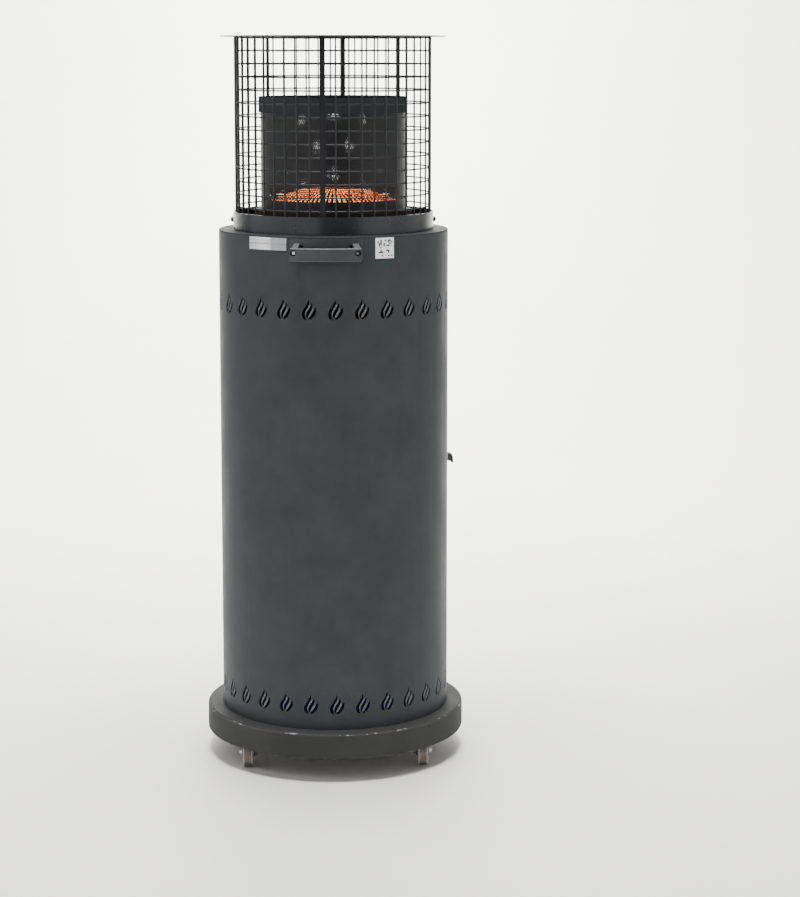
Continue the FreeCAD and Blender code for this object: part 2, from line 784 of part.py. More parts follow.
def make_collar():
    collar = turned(
        "collar_ring",
        (
            (176, "body_top"),
            ("collar_radius", "body_top"),
            ("collar_radius", "collar_top"),
            ("collar_inner", "collar_top"),
            ("collar_inner", "body_top + 2"),
            (176, "body_top + 2"),
        ),
    )
    holes = upright_holes("collar_hole", 181, DECK_SCREWS, "body_top - 5", "body_top + 5")
    screws = []
    for name, bearing in (("left", -90), ("right", 90)):
        item = screw(f"collar_screw_{name}", 5, 5, "screw_radius", 4.5)
        screws.append(put_round(item, "collar_radius", bearing, 1038, outward(bearing)))
        hole = cylinder(f"collar_{name}_hole", "screw_radius + 0.02", 10)
        holes.append(put_round(hole, "collar_radius - 6", bearing, 1038, outward(bearing)))
    node("collar", cut("collar", collar, *holes))
    node("collar_screws", group("collar_screws", screws))


def make_sheet_screws():
    """Screws of one size: base ring to pan, and collar to deck."""
    screws = []
    for number, bearing in enumerate(BASE_SCREWS):
        item = screw(f"base_screw_{number}", 4, 2.5, "screw_radius", 6)
        screws.append(put_round(item, 209.5, bearing, "base_top + sheet_metal"))
    for number, bearing in enumerate(DECK_SCREWS):
        item = screw(f"deck_screw_{number}", 4, 2.5, "screw_radius", 6)
        screws.append(put_round(item, 181, bearing, "body_top + 2"))
    node("sheet_screws", group("sheet_screws", screws))


PILOT_X, THERMOCOUPLE_X, ELECTRODE_X = 0, 11, -11
PILOT_Y = 132.8


def make_burner():
    tray = turned(
        "tray_pan",
        (
            ("tray_hole", "tray_top - 2"),
            ("tray_radius - 2", "tray_top - 2"),
            ("tray_radius - 2", "body_top"),
            ("tray_radius", "body_top"),
            ("tray_radius", "tray_top"),
            ("tray_hole", "tray_top"),
        ),
    )
    holes = []
    places = (("pilot", PILOT_X), ("thermocouple", THERMOCOUPLE_X), ("electrode", ELECTRODE_X))
    for name, across in places:
        holes.append(put(cylinder(f"tray_{name}_hole", 3.2, 10), across, PILOT_Y, "tray_top - 6"))
    node("burner_tray", cut("burner_tray", tray, *holes))

    bowl = turned(
        "burner_bowl",
        (
            (130, "tray_top"),
            (130, "tray_top + 1.5"),
            (124, "tray_top + 1.5"),
            (116.5, "tray_top - 21.7"),
            (59.5, "tray_top - 44.5"),
            (20.5, "tray_top - 48.5"),
            (20.5, "tray_top - 73"),
            (22, "tray_top - 73"),
            (22, "tray_top - 50"),
            (60, "tray_top - 46"),
            (118, "tray_top - 23"),
            (125.6, "tray_top"),
        ),
    )
    node("burner_bowl", bowl)

    outer = document.addObject("Part::Sphere", "dome_outer")
    inner = document.addObject("Part::Sphere", "dome_inner")
    bind(outer, Radius="dome_sphere")
    bind(inner, Radius="dome_sphere - 1.5")
    for ball in (outer, inner):
        put(ball, z="dome_top - dome_sphere")
    blank = put(cylinder("dome_blank", "dome_radius", 40), z="dome_edge - 2")
    cap = document.addObject("Part::MultiCommon", "dome_cap")
    cap.Shapes = [cut("dome_skin", outer, inner), blank]
    rim = tube("dome_rim", "dome_radius", "dome_radius - 1.5", "tray_top + 1.5", "dome_edge - tray_top - 2")
    node("burner_dome", fuse("burner_dome", cap, rim))

    node("emitter_drum", tube("emitter_drum", "drum_radius", "drum_radius - drum_metal", "tray_top",
                              "drum_top - tray_top"))
    lid = turned(
        "drum_cap",
        (
            (0, "drum_top"),
            ("cap_radius - sheet_metal", "drum_top"),
            ("cap_radius - sheet_metal", "cap_low"),
            ("cap_radius", "cap_low"),
            ("cap_radius", "drum_top + sheet_metal"),
            (0, "drum_top + sheet_metal"),
        ),
    )
    node("drum_cap", round_circles(lid, 1, [("cap_radius", "drum_top + sheet_metal")]))


def make_reflector():
    posts = []
    low = "drum_top + sheet_metal"
    for number in range(4):
        post = cylinder(f"reflector_post_{number}", "reflector_post_radius", less("plate_low", low))
        posts.append(put_round(post, "post_ring", f"post_turn + {90 * number}", low))
    node("reflector_posts", group("reflector_posts", posts))
    plate = turned(
        "top_plate",
        (
            (0, "plate_low"),
            ("plate_radius", "plate_low"),
            ("plate_radius", "plate_high"),
            (0, "plate_high"),
        ),
    )
    node("top_plate", round_circles(plate, 0.6, [("plate_radius", "plate_high")]))


def make_guard():
    """Upright wires and straps in one ring, welded to the outside of the level rings."""
    wires, straps, rings = [], [], []
    for number in range(48):
        bearing = f"guard_turn + {7.5 * number}"
        if number % 12 == 0:
            strap = padded(
                f"strap_{number}",
                "XY_Plane",
                (
                    ("-0.5*strap_width", "- strap_inner - strap_metal"),
                    ("0.5*strap_width", "- strap_inner - strap_metal"),
                    ("0.5*strap_width", "- strap_inner"),
                    ("-0.5*strap_width", "- strap_inner"),
                ),
                "plate_low - wire_low",
            )
            straps.append(put(strap, z="0.5*plate_low + 0.5*wire_low", rotation=facing(bearing)))
            continue
        wire = cylinder(f"wire_{number}", "wire_radius", "plate_low - wire_low")
        wires.append(put_round(wire, "wire_ring", bearing, "wire_low"))
    for number in range(15):
        ring = document.addObject("Part::Torus", f"ring_{number}")
        bind(ring, Radius1="ring_ring", Radius2="wire_radius")
        rings.append(put(ring, z=f"top_ring - {number}*ring_pitch"))
    node("guard_wires", group("guard_wires", wires))
    node("guard_straps", group("guard_straps", straps))
    node("guard_rings", group("guard_rings", rings))


# Gas train


def make_mixer():
    leg_x, low = 150, "valve_low - 5"
    under_deck = "body_top - deck_metal"
    strap = padded(
        "bracket_strap",
        "XZ_Plane",
        (
            (-leg_x - 16, under_deck),
            (-leg_x - 16, f"{under_deck} - 2"),
            (-leg_x, f"{under_deck} - 2"),
            (-leg_x, low),
            (leg_x, low),
            (leg_x, f"{under_deck} - 2"),
            (leg_x + 16, f"{under_deck} - 2"),
            (leg_x + 16, under_deck),
            (leg_x - 2, under_deck),
            (leg_x - 2, f"{low} + 2"),
            (2 - leg_x, f"{low} + 2"),
            (2 - leg_x, under_deck),
        ),
        24,
    )
    hole = put(cylinder("injector_hole", 7.1, 10), z=f"{low} - 4")
    node("burner_bracket", cut("burner_bracket", strap, hole))

    venturi = turned(
        "venturi",
        ((20.2, 1004), (20.2, 966), (27, 948), (25.2, 948), (18.6, 966), (18.6, 1004)),
    )
    node("venturi", venturi)

    body = put(cylinder("injector_body", 7, 26), z=929)
    shoulder = put(cylinder("injector_shoulder", 10, 3), z=942)
    jet = document.addObject("Part::Cone", "injector_jet")
    bind(jet, Radius1=5, Radius2=2, Height=8)
    put(jet, z=955)
    side = cylinder("injector_side", 5.9, 16)
    put(side, 0, 16, 934, Rotation(Vector(1, 0, 0), 90))
    solid = fuse("injector_metal", body, shoulder, jet, side)
    jet_hole = put(cylinder("injector_way", 1.5, 30), z=935)
    pipe_hole = put(cylinder("injector_socket", 4.52, 10), 0, 16.5, 934, Rotation(Vector(1, 0, 0), 90))
    node("injector", cut("injector", solid, jet_hole, pipe_hole))
    route = ((-8, 165, 962), (-8, 128, 962), (-6, 86, 946), (0, 50, 934), (0, 7.5, 934))
    node("gas_pipe", bent_rod("gas_pipe", route, 4.5, 3.5))


def make_valve():
    block = put(box("valve_block", 44, "valve_front - valve_back", 40), -22, "valve_back", "valve_low")
    barb = put(cylinder("valve_barb", "barb_radius", 22), 0, 185, "valve_low - 20")
    stem_way = cylinder("valve_stem_way", "stem_radius + running_gap", 22)
    put(stem_way, 0, "valve_front + 1", "control_height", Rotation(Vector(1, 0, 0), 90))
    node("gas_valve", cut("gas_valve", fuse("valve_metal", block, barb), stem_way))

    front, flange = "valve_front", "valve_front + 9"
    bracket = padded(
        "bracket_channel",
        "XY_Plane",
        (
            (-42, front),
            (42, front),
            (42, flange),
            (40, flange),
            (40, "valve_front + 2"),
            (-40, "valve_front + 2"),
            (-40, flange),
            (-42, flange),
        ),
        60,
    )
    put(bracket, z="control_height")
    hole = put(cylinder("bracket_hole", 6, 12), 0, "valve_front + 8", "control_height",
               Rotation(Vector(1, 0, 0), 90))
    node("valve_bracket", cut("valve_bracket", bracket, hole))

    stem = cylinder("valve_stem", "stem_radius", 42)
    node("valve_stem", put(stem, 0, 195, "control_height", Rotation(Vector(1, 0, 0), -90)))

    cap = turned(
        "knob_cap",
        (
            ("stem_radius + running_gap", 0),
            (23, 0),
            (23, 5),
            (20.5, 15),
            (0, 15),
            (0, 11),
            ("stem_radius + running_gap", 11),
        ),
    )
    ridge = put(box("knob_ridge", 9, 38, 9.5), -4.5, -19, 14)
    knob = fuse("gas_knob", cap, ridge)
    node("gas_knob", put(knob, 0, "body_radius + 7", "control_height", Rotation(Vector(1, 0, 0), -90)))


def make_panel():
    sheet = sector("panel_sheet", "body_radius + 1.8", "body_radius", 165, 209, 930, 1000)
    stem_hole = radial_hole("panel_stem_hole", 6, "knob_bearing", "control_height")
    igniter_hole = radial_hole("panel_igniter_hole", 9.3, "igniter_bearing", "control_height")
    node("control_panel", cut("control_panel", sheet, stem_hole, igniter_hole))

    turn = outward("igniter_bearing")

    def at(item, radius):
        return put_round(item, radius, "igniter_bearing", "control_height", turn)

    barrel = at(cylinder("igniter_barrel", 9, 74), 150)
    flange = at(cylinder("igniter_flange", 12, 2.5), "body_radius + 2")
    bore = at(cylinder("igniter_bore", 6.8, 40), 196)
    node("igniter_body", cut("igniter_body", fuse("igniter_metal", barrel, flange), bore))
    node("igniter_button", at(cylinder("igniter_button", 6.5, 26), 204))


def make_pilot():
    """Pilot tube, thermocouple and spark electrode stand side by side between dome and drum."""
    arch = padded(
        "pilot_arch",
        "XZ_Plane",
        (
            (-18, "tray_top"),
            (-16.5, "tray_top"),
            (-16.5, "tray_top + 8"),
            (16.5, "tray_top + 8"),
            (16.5, "tray_top"),
            (18, "tray_top"),
            (18, "tray_top + 9.5"),
            (-18, "tray_top + 9.5"),
        ),
        5.6,
    )
    put(arch, 0, PILOT_Y, 0)
    holes = []
    for name, across, radius in (("pilot", PILOT_X, 2.55), ("couple", THERMOCOUPLE_X, 1.85),
                                 ("spark", ELECTRODE_X, 2.05)):
        holes.append(put(cylinder(f"arch_{name}_hole", radius, 10), across, PILOT_Y, "tray_top + 4"))
    node("pilot_bracket", cut("pilot_bracket", arch, *holes))

    pilot = ((8, 165, 975), (8, 150, 975), (0, PILOT_Y, 990), (0, PILOT_Y, 1082))
    couple = (
        (16, 165, 955),
        (16, 148, 955),
        (THERMOCOUPLE_X, PILOT_Y, 982),
        (THERMOCOUPLE_X, PILOT_Y, 1090),
    )
    spark = (
        (-43.7, 142.8, 965),
        (-38, 124.2, 965),
        (-20, 122, 984),
        (ELECTRODE_X, PILOT_Y, 1006),
        (ELECTRODE_X, PILOT_Y, 1088),
    )
    node("pilot_tube", bent_rod("pilot_tube", pilot, 2.5, 1.6))
    node("thermocouple", bent_rod("thermocouple", couple, 1.8))
    node("igniter_electrode", bent_rod("igniter_electrode", spark, 2))
    switch = box("tilt_switch", 34, 22, 26)
    node("tilt_switch", put(switch, -120, 60, "shield_low + sheet_metal"))


HOSE_ROUTE = (
    (52, 0, 662),
    (118, 0, 662),
    (164, 40, 700),
    (160, 98, 756),
    (112, 148, 806),
    (46, 178, 846),
    (0, 185, 892),
    (0, 185, 943),
)


def make_bottle():
    wall = "bottle_wall"
    vessel = turned(
        "gas_bottle",
        (
            (0, "bottle_low"),
            ("bottle_radius", "bottle_low"),
            ("bottle_radius", "bottle_high"),
            (30, "bottle_high"),
            (26, "bottle_high + 16"),
            ("bottle_neck", "bottle_high + 16"),
            ("bottle_neck", f"bottle_high - {wall}"),
            (f"bottle_radius - {wall}", f"bottle_high - {wall}"),
            (f"bottle_radius - {wall}", f"bottle_low + {wall}"),
            (0, f"bottle_low + {wall}"),
        ),
    )
    round_circles(vessel, 50, [("bottle_radius", "bottle_low"), ("bottle_radius", "bottle_high")])
    inner = f"bottle_radius - {wall}"
    round_circles(vessel, 47, [(inner, f"bottle_low + {wall}"), (inner, f"bottle_high - {wall}")])
    ring = vessel.newObject("PartDesign::Revolution", "foot_ring")
    ring.Profile = outline(
        vessel,
        "foot_ring_outline",
        "XZ_Plane",
        ((125, "base_top"), (128, "base_top"), (128, "bottle_low + 9"), (125, "bottle_low + 9")),
    )
    ring.ReferenceAxis = (ring.Profile[0], ["V_Axis"])
    vessel.Tip = ring
    node("gas_bottle", vessel)

    valve = turned(
        "bottle_valve",
        (
            (0, "bottle_high - 4"),
            ("bottle_neck - 0.05", "bottle_high - 4"),
            ("bottle_neck - 0.05", "bottle_high + 16.2"),
            (19, "bottle_high + 16.2"),
            (19, "bottle_high + 30"),
            (14, "bottle_high + 34"),
            (14, "regulator_low"),
            (0, "regulator_low"),
        ),
    )
    node("bottle_valve", valve)

    drum = turned(
        "regulator_drum",
        (
            (0, "regulator_low"),
            (21, "regulator_low"),
            (24, "regulator_low + 12"),
            (33, "regulator_low + 16"),
            (33, "regulator_low + 30"),
            (24, "regulator_high"),
            (0, "regulator_high"),
        ),
    )
    sideways = Rotation(Vector(0, 1, 0), 90)
    nozzle = put(cylinder("regulator_nozzle", "barb_radius", 46), 28, 0, 662, sideways)
    root = put(cylinder("regulator_root", 7, 16), 28, 0, 662, sideways)
    node("regulator", fuse("regulator", drum, nozzle, root))
    dial = cylinder("lever_dial", 20, 7)
    finger = put(box("lever_finger", 34, 10, 6), 0, -5, 0.5)
    node("regulator_lever", put(fuse("regulator_lever", dial, finger), z="regulator_high + 0.3"))

    node("gas_hose", bent_rod("gas_hose", HOSE_ROUTE, "hose_radius", "hose_bore"))
    clamps = []
    for name, spot, rotation in (
        ("low", (60, 0, 662), Rotation(Vector(0, 1, 0), 90)),
        ("high", (0, 185, 930), Rotation()),
    ):
        band = put(cylinder(f"{name}_band", "hose_radius + 1.5", 9), *spot, rotation)
        way = put(cylinder(f"{name}_way", "hose_radius + 0.05", 9), *spot, rotation)
        clamps.append(cut(f"{name}_clamp", band, way))
    node("hose_clamps", group("hose_clamps", clamps))


def check_and_write():
    """Stops on a failed object or a bad shape, then writes one STEP file for each node."""
    document.recompute()
    for item in document.Objects:
        if "Invalid" in item.State or "Error" in item.State:
            raise RuntimeError(f"{item.Name} failed: {item.State}")
    for item in nodes:
        shape = item.Shape
        if shape.isNull() or not shape.isValid() or not shape.Solids:
            raise RuntimeError(f"{item.Label} has no valid solid")
    os.makedirs("parts", exist_ok=True)
    for item in nodes:
        item.Shape.exportStep(f"parts/{item.Label}.step")
    print(f"{len(nodes)} nodes written")


fill_sheet()
make_base()
make_wheels()
make_rear_feet()
make_housing()
make_door()
make_hinges()
make_catch()
make_handle()
make_labels()
make_collar()
make_sheet_screws()
make_burner()
make_reflector()
make_guard()
make_mixer()
make_valve()
make_panel()
make_pilot()
make_bottle()
check_and_write()
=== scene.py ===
import json
import math

import bpy
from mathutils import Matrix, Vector


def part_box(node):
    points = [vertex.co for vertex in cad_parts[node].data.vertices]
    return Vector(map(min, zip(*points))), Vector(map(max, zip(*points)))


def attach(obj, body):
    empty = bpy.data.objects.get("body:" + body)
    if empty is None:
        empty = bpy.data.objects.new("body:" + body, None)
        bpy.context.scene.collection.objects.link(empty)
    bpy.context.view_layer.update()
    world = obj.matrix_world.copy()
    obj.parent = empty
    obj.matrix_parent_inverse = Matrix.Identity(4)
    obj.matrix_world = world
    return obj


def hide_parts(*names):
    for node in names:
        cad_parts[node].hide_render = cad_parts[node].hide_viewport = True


# The outdoor heater: materials for the CAD pieces, and the two visual pieces that the CAD leaves
# plain, the perforated drum and the slotted burner dome. Metres, +Z up, the front towards -Y. A
# bearing is an angle in plan, measured from the front towards +X.

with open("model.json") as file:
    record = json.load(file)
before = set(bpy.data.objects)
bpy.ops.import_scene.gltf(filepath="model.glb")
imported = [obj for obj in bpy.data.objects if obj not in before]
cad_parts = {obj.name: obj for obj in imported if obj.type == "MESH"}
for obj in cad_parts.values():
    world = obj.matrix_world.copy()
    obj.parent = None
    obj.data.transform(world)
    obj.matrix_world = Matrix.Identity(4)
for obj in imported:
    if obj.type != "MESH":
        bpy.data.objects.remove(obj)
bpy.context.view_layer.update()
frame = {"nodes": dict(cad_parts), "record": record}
NODES = frame["nodes"]


def low_of(node):
    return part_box(node)[0]


def high_of(node):
    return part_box(node)[1]


# The emitter drum. Its holes are wider in the band in front of the burner.
DRUM_RADIUS = 0.1385
DRUM_METAL = 0.0009
DRUM_LOW = 1.058
DRUM_HIGH = 1.2707
PERFORATED_LOW = 1.0785
PERFORATED_HIGH = 1.2545
HOLES_ROUND = 224
HOLE_ROWS = 48
HOLE_RADIUS = 0.00060
BURNER_HOLE_RADIUS = 0.00145
BURNER_BAND_TOP = 1.104
BURNER_BAND_TOP_BEHIND = 1.082
FRONT_BAND_COSINE = 0.5

# The burner dome. A rib has four faces round the dome: two glow, and two form the groove beside it.
DOME_RADIUS = 0.125
DOME_EDGE = 1.073
DOME_TOP = 1.100
DOME_RIBS = 74
DOME_RINGS = 12
DOME_SLOT_REACH = 0.93
FACES_PER_RIB = 4
GLOWING_FACES = 2
GROOVE_DEPTH = 0.0045

# The housing, its rows of vents, and the patch of painted highlight on the strips inside each vent.
BODY_RADIUS = 0.22
VENT_COUNT = 28
VENT_BEARING = math.radians(0.8)
VENT_ROWS = (0.887, 0.141)
STRIP_HIGHLIGHT_HALF_WIDTH = 0.0092
STRIP_HIGHLIGHT_HALF_HEIGHT = 0.0125
STRIP_HIGHLIGHT_DROP = 0.002

# The base skirt: the middle and the reach of the chipped band along each of its edges.
CHIPPED_EDGES = ((0.0908, 0.0014), (0.0445, 0.0012))
# Above this height the base's top gets painted shade.
BASE_TOP_START = 0.0912
SKIRT_FACE = 0.2455

WHEEL_MIDDLE = 0.167
FLANGE_START = 0.0066
BACKPLATE_SCREW_REACH = BODY_RADIUS + 0.0055

# The label's pattern of cells, and the dark line along the rating plate.
CELL_SIZE = 0.0031
CELL_SHARE_LEFT_WHITE = 0.66
PATTERN_REACH = 0.0155
FOIL_LINE_HALF_WIDTH = 0.0009

# The stage: a floor that curves up into a wall, four upright panels of light, and the camera.
SWEEP_HALF_WIDTH = 9.0
SWEEP_FRONT = -9.0
CURVE_START = 2.6
CURVE_RADIUS = 1.6
CURVE_STEPS = 16
WALL_TOP = 7.0
WORLD_STRENGTH = 0.14
PANELS = ((-37, 3.4, 1.0), (-84, 3.6, 1.12), (51, 3.4, 1.2), (95, 3.2, 0.9))
PANEL_RADIANCE = 0.90
PANEL_HEIGHT = 2.8
PANEL_DISTANCE = 4.1
PANEL_MIDDLE = 1.7
PANEL_TARGET = (0, 0, 1.2)
CAMERA_LENS = 89.664
CAMERA_SHIFT = -0.1
CAMERA_PLACE = (0, -4.2895, 1.3524)
CAMERA_PITCH = 0.1357
CAMERA_YAW = -0.0298


# ---------------------------------------------------------------- materials


class Graph:
    """A material's node tree, built with short calls."""

    def __init__(self, name, material=None):
        self.material = material or bpy.data.materials.new(name)
        self.material.use_nodes = True
        self.nodes = self.material.node_tree.nodes
        self.links = self.material.node_tree.links
        self.shader = self.nodes["Principled BSDF"]
        self.coordinates = self.nodes.new("ShaderNodeTexCoord").outputs["Object"]

    def set(self, **values):
        for name, value in values.items():
            self.shader.inputs[name.replace("_", " ")].default_value = value

    def link(self, source, target):
        self.links.new(source, target)

    def feed(self, name, source):
        self.links.new(source, self.shader.inputs[name])

    def stretched(self, scale):
        node = self.nodes.new("ShaderNodeMapping")
        node.inputs["Scale"].default_value = scale
        self.link(self.coordinates, node.inputs["Vector"])
        return node.outputs["Vector"]

    def noise(self, scale, detail, roughness, vector=None):
        node = self.nodes.new("ShaderNodeTexNoise")
        node.inputs["Scale"].default_value = scale
        node.inputs["Detail"].default_value = detail
        node.inputs["Roughness"].default_value = roughness
        self.link(vector or self.coordinates, node.inputs["Vector"])
        return node.outputs["Fac"]

    def ramp(self, source, *stops):
        """Maps a value through (position, colour or grey) stops."""
        node = self.nodes.new("ShaderNodeValToRGB")
        elements = node.color_ramp.elements
        while len(elements) < len(stops):
            elements.new(0.5)
        for element, (place, shade) in zip(elements, stops):
            element.position = place
            grey = isinstance(shade, (int, float))
            element.color = (shade, shade, shade, 1) if grey else (*shade, 1)
        self.link(source, node.inputs["Fac"])
        return node.outputs["Color"]

    def math(self, kind, first, second=None, clamp=False):
        node = self.nodes.new("ShaderNodeMath")
        node.operation = kind
        node.use_clamp = clamp
        for slot, value in zip(node.inputs, (first, second)):
            if value is None:
                continue
            if isinstance(value, (int, float)):
                slot.default_value = value
            else:
                self.link(value, slot)
        return node.outputs["Value"]

    def mix(self, factor, first, second):
        node = self.nodes.new("ShaderNodeMix")
        node.data_type = "RGBA"
        for slot, value in zip((node.inputs["Factor"], node.inputs["A"], node.inputs["B"]),
                               (factor, first, second)):
            if isinstance(value, tuple):
                slot.default_value = (*value, 1)
            else:
                self.link(value, slot)
        return node.outputs["Result"]

    def bump(self, height, strength, distance):
        node = self.nodes.new("ShaderNodeBump")
        node.inputs["Strength"].default_value = strength
        node.inputs["Distance"].default_value = distance
        self.link(height, node.inputs["Height"])
        self.feed("Normal", node.outputs["Normal"])

    def bearing(self):
        """The angle round the middle, from the front, in radians."""
        return self.math("ARCTAN2", self.axis("X"), self.math("MULTIPLY", self.axis("Y"), -1))

    def from_middle(self):
        """The distance from the upright middle axis."""
        across, along = self.square(self.axis("X")), self.square(self.axis("Y"))
        return self.math("SQRT", self.math("ADD", across, along))

    def square(self, value):
        return self.math("MULTIPLY", value, value)

    def axis(self, name):
        node = self.nodes.new("ShaderNodeSeparateXYZ")
        self.link(self.coordinates, node.inputs["Vector"])
        return node.outputs[name]


def paint(name, colour, rough, relief=0.08, worn=None, **more):
    """Powder coat or enamel: a fine orange-peel relief, patchy gloss and faint grime."""
    graph = Graph(name)
    graph.set(**more)
    patches = graph.noise(9, 5, 0.6)
    fine = graph.noise(120, 3, 0.6)
    dark = tuple(0.90 * part for part in colour)
    light = tuple(min(1, 1.10 * part) for part in colour)
    shade = graph.ramp(patches, (0.35, dark), (0.68, light))
    if worn:
        scratches = graph.noise(1, 6, 0.75, graph.stretched((260, 260, 9)))
        sparse = graph.noise(7, 2, 0.5)
        mask = graph.math("MULTIPLY", graph.ramp(scratches, (0.70, 0), (0.74, 1)),
                          graph.ramp(sparse, (0.62, 0), (0.70, 1)))
        shade = graph.mix(graph.math("MULTIPLY", mask, worn), shade, (0.42, 0.42, 0.42))
    graph.feed("Base Color", shade)
    graph.feed("Roughness", graph.ramp(graph.math("ADD", patches, graph.math("MULTIPLY", fine, 0.25)),
                                       (0.45, rough[0]), (0.80, rough[1])))
    graph.bump(graph.noise(900, 2, 0.5), relief, 0.0006)
    return graph.material


def metal(name, colour, rough):
    """Bare metal with a patchy polish and a fine grain."""
    graph = Graph(name)
    graph.set(Metallic=1.0)
    patches = graph.noise(25, 5, 0.6)
    grain = graph.noise(400, 3, 0.6)
    dull = tuple(0.80 * part for part in colour)
    graph.feed("Base Color", graph.ramp(patches, (0.35, dull), (0.70, colour)))
    graph.feed("Roughness", graph.ramp(graph.math("ADD", patches, graph.math("MULTIPLY", grain, 0.4)),
                                       (0.50, rough[0]), (0.90, rough[1])))
    graph.bump(grain, 0.12, 0.0003)
    return graph.material


def plain(name, colour, rough):
    """Plastic, rubber or ceramic: even colour with a fine texture."""
    graph = Graph(name)
    patches = graph.noise(60, 5, 0.6)
    dark = tuple(0.85 * part for part in colour)
    graph.feed("Base Color", graph.ramp(patches, (0.3, dark), (0.7, colour)))
    graph.feed("Roughness", graph.ramp(patches, (0.3, rough[0]), (0.7, rough[1])))
    graph.bump(graph.noise(840, 3, 0.6), 0.1, 0.0005)
    return graph.material


def housing_material():
    """The housing's paint, with a painted highlight that makes the narrow strips between the slots of
    each vent paler, where they catch the light.
    """
    material = paint("housing_paint", (0.0452, 0.0497, 0.0550), (0.42, 0.56), worn=0.5,
                     Specular_IOR_Level=0.07)
    graph = Graph("housing_paint", material)
    pitch = 2 * math.pi / VENT_COUNT
    from_start = graph.math("SUBTRACT", graph.bearing(), VENT_BEARING - pitch / 2)
    turns = graph.math("DIVIDE", from_start, pitch)
    across = graph.math("MULTIPLY", graph.math("SUBTRACT", graph.math("FRACT", turns), 0.5),
                        pitch * BODY_RADIUS / STRIP_HIGHLIGHT_HALF_WIDTH)
    rows = []
    for row in VENT_ROWS:
        rise = graph.math("SUBTRACT", graph.axis("Z"), row - STRIP_HIGHLIGHT_DROP)
        up = graph.math("DIVIDE", rise, STRIP_HIGHLIGHT_HALF_HEIGHT)
        rows.append(graph.math("ADD", graph.square(across), graph.square(up)))
    # Painted highlight: the strips between each vent's slots are painted paler and bluish, where they
    # catch the light.
    strips = graph.ramp(graph.math("MINIMUM", *rows), (0.75, 1), (1.0, 0))
    under = graph.shader.inputs["Base Color"].links[0].from_socket
    graph.feed("Base Color", graph.mix(strips, under, (0.12, 0.135, 0.15)))
    return material


def plate_material():
    """A satin metal sheet with a painted rim, and painted shade that makes its underside near black
    and not metallic.
    """
    graph = Graph("top_plate")
    # Painted shade: the downward face is painted near black and made not metallic.
    shaded_underside = graph.math("LESS_THAN", graph.axis("Z"), low_of("top_plate")[2] + 0.0002)
    patches = graph.noise(25, 5, 0.6)
    bright = graph.ramp(patches, (0.35, (0.15, 0.15, 0.155)), (0.70, (0.20, 0.20, 0.205)))
    rim = graph.math("GREATER_THAN", graph.from_middle(), high_of("top_plate")[0] - 0.0004)
    shade = graph.mix(shaded_underside, bright, (0.018, 0.018, 0.020))
    graph.feed("Base Color", graph.mix(rim, shade, (0.13, 0.13, 0.13)))
    graph.feed("Metallic", graph.math("SUBTRACT", 1, graph.math("MAXIMUM", shaded_underside, rim)))
    graph.feed("Roughness", graph.ramp(patches, (0.35, 0.32), (0.70, 0.46)))
    graph.bump(graph.noise(400, 3, 0.6), 0.1, 0.0003)
    return graph.material


def cell_noise(graph, across, up, size):
    """A random value for each square cell of the given size."""
    cells = graph.nodes.new("ShaderNodeCombineXYZ")
    graph.link(graph.math("FLOOR", graph.math("DIVIDE", across, size)), cells.inputs["X"])
    graph.link(graph.math("FLOOR", graph.math("DIVIDE", up, size)), cells.inputs["Y"])
    noise = graph.nodes.new("ShaderNodeTexWhiteNoise")
    graph.link(cells.outputs["Vector"], noise.inputs["Vector"])
    return noise.outputs["Value"]


def label_material():
    """White paper with a made-up pattern of dark cells that says nothing, inside a white margin."""
    graph = Graph("label_paper")
    low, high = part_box("blank_label")
    middle = math.atan2((low[0] + high[0]) / 2, -(low[1] + high[1]) / 2)
    across = graph.math("MULTIPLY", graph.math("SUBTRACT", graph.bearing(), middle), BODY_RADIUS)
    up = graph.math("SUBTRACT", graph.axis("Z"), (low[2] + high[2]) / 2)
    dark = graph.math("GREATER_THAN", cell_noise(graph, across, up, CELL_SIZE), CELL_SHARE_LEFT_WHITE)
    for distance in (across, up):
        inside = graph.math("LESS_THAN", graph.math("ABSOLUTE", distance), PATTERN_REACH)
        dark = graph.math("MULTIPLY", dark, inside)
    fibres = graph.noise(160, 5, 0.6)
    paper = graph.ramp(fibres, (0.3, (0.92, 0.92, 0.92)), (0.7, (0.97, 0.97, 0.97)))
    graph.feed("Base Color", graph.mix(dark, paper, (0.045, 0.045, 0.05)))
    graph.feed("Roughness", graph.ramp(fibres, (0.3, 0.32), (0.7, 0.45)))
    graph.bump(graph.noise(900, 3, 0.6), 0.1, 0.0003)
    return graph.material


